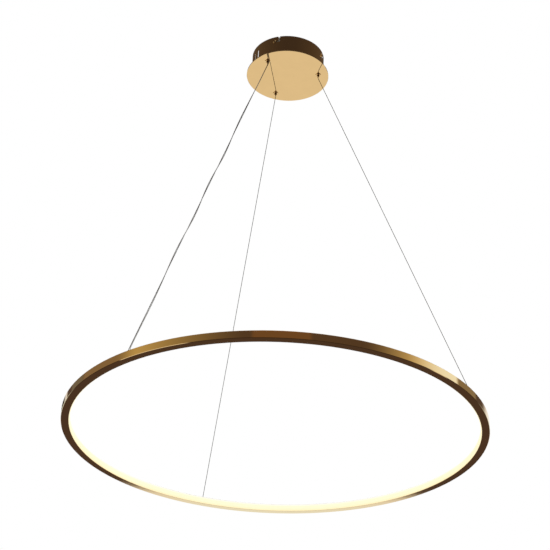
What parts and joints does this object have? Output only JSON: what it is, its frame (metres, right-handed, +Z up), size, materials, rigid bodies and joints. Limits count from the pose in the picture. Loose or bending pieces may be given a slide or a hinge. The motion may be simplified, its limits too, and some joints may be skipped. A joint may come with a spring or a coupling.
{
  "type": "LED ring chandelier",
  "caption": "Round gold ceiling canopy from which a slim gold LED ring hangs on steel wires, opal diffuser all round its inside.",
  "frame": {"origin": "on the ceiling, in the middle of the ceiling bracket", "axes": "+Z up, towards the ceiling; the picture was taken from the -Y side and below"},
  "size_m": [0.9998, 0.9998, 1.116],
  "materials": {
    "zinc_steel": "zinc-plated pressed steel",
    "gold_steel": "polished, gold-coloured plating",
    "gold_aluminium": "polished, gold-coloured plating",
    "gold_brass": "polished",
    "bare_aluminium": "plain mill finish",
    "dark_steel": "black oxide",
    "bearing_steel": "polished",
    "wire_steel": "stranded stainless steel",
    "opal_diffuser": "opal, lit from inside",
    "circuit_tape": "white solder mask",
    "phosphor": "yellow silicone",
    "driver_plastic": "fine moulded texture",
    "block_plastic": "moulded",
    "wiring_pvc": "smooth sheath",
    "lead_pvc": "clear grey sheath",
    "clear_plastic": "moulded",
    "connector_plastic": "moulded"
  },
  "bodies": {
    "bracket": {"ceiling_bracket": "zinc_steel", "ear_nuts": "zinc_steel", "locking_screws": "gold_steel", "earth_screw": "zinc_steel"},
    "canopy": {"canopy_wall": "gold_steel", "canopy_plate": "gold_steel", "plate_studs": "zinc_steel", "stud_nuts": "zinc_steel", "led_driver": "driver_plastic", "driver_saddle": "zinc_steel", "terminal_block": "block_plastic", "driver_input_leads": "wiring_pvc", "inner_lead": "lead_pvc", "power_lead": "lead_pvc", "gripper_body_1": "gold_brass", "gripper_body_2": "gold_brass", "gripper_body_3": "gold_brass", "gripper_nut_1": "zinc_steel", "gripper_nut_2": "zinc_steel", "gripper_nut_3": "zinc_steel", "gripper_cap_1": "gold_brass", "gripper_cap_2": "gold_brass", "gripper_cap_3": "gold_brass", "gripper_spring_1": "bearing_steel", "gripper_spring_2": "bearing_steel", "gripper_spring_3": "bearing_steel", "suspension_wire_1": "wire_steel", "suspension_wire_2": "wire_steel", "suspension_wire_3": "wire_steel"},
    "ring": {"ring_channel_a": "gold_aluminium", "ring_channel_b": "gold_aluminium", "ring_joiner_a": "bare_aluminium", "ring_joiner_b": "bare_aluminium", "joiner_set_screws": "dark_steel", "diffuser": "opal_diffuser", "led_strip": "circuit_tape", "phosphor_line": "phosphor", "anchor_nuts": "zinc_steel", "lead_grommet": "clear_plastic", "strip_connector": "connector_plastic", "cable_anchor_1": "gold_brass", "cable_anchor_2": "gold_brass", "cable_anchor_3": "gold_brass", "cable_stop_1": "bare_aluminium", "cable_stop_2": "bare_aluminium", "cable_stop_3": "bare_aluminium"},
    "plunger_1": {"gripper_plunger_1": "gold_brass", "gripper_balls_1": "bearing_steel"},
    "plunger_2": {"gripper_plunger_2": "gold_brass", "gripper_balls_2": "bearing_steel"},
    "plunger_3": {"gripper_plunger_3": "gold_brass", "gripper_balls_3": "bearing_steel"}
  },
  "joints": [
    {"name": "canopy_twist", "type": "hinge", "parent": "bracket", "child": "canopy", "pos_m": [0, 0, 0], "axis": [0, 0, -1], "range_deg": [0, 7.5]},
    {"name": "ring_height", "type": "slide", "parent": "canopy", "child": "ring", "axis": [0, 0, 1], "range_m": [0, 0.7], "deforming": ["suspension_wire_1", "suspension_wire_2", "suspension_wire_3", "power_lead"]},
    {"name": "plunger_1_press", "type": "slide", "parent": "canopy", "child": "plunger_1", "axis": [0, 0, 1], "range_m": [0, 0.0025], "stiffness_N_per_m": 400, "springref_m": -0.004, "deforming": ["gripper_spring_1"]},
    {"name": "plunger_2_press", "type": "slide", "parent": "canopy", "child": "plunger_2", "axis": [0, 0, 1], "range_m": [0, 0.0025], "stiffness_N_per_m": 400, "springref_m": -0.004, "deforming": ["gripper_spring_2"]},
    {"name": "plunger_3_press", "type": "slide", "parent": "canopy", "child": "plunger_3", "axis": [0, 0, 1], "range_m": [0, 0.0025], "stiffness_N_per_m": 400, "springref_m": -0.004, "deforming": ["gripper_spring_3"]}
  ]
}
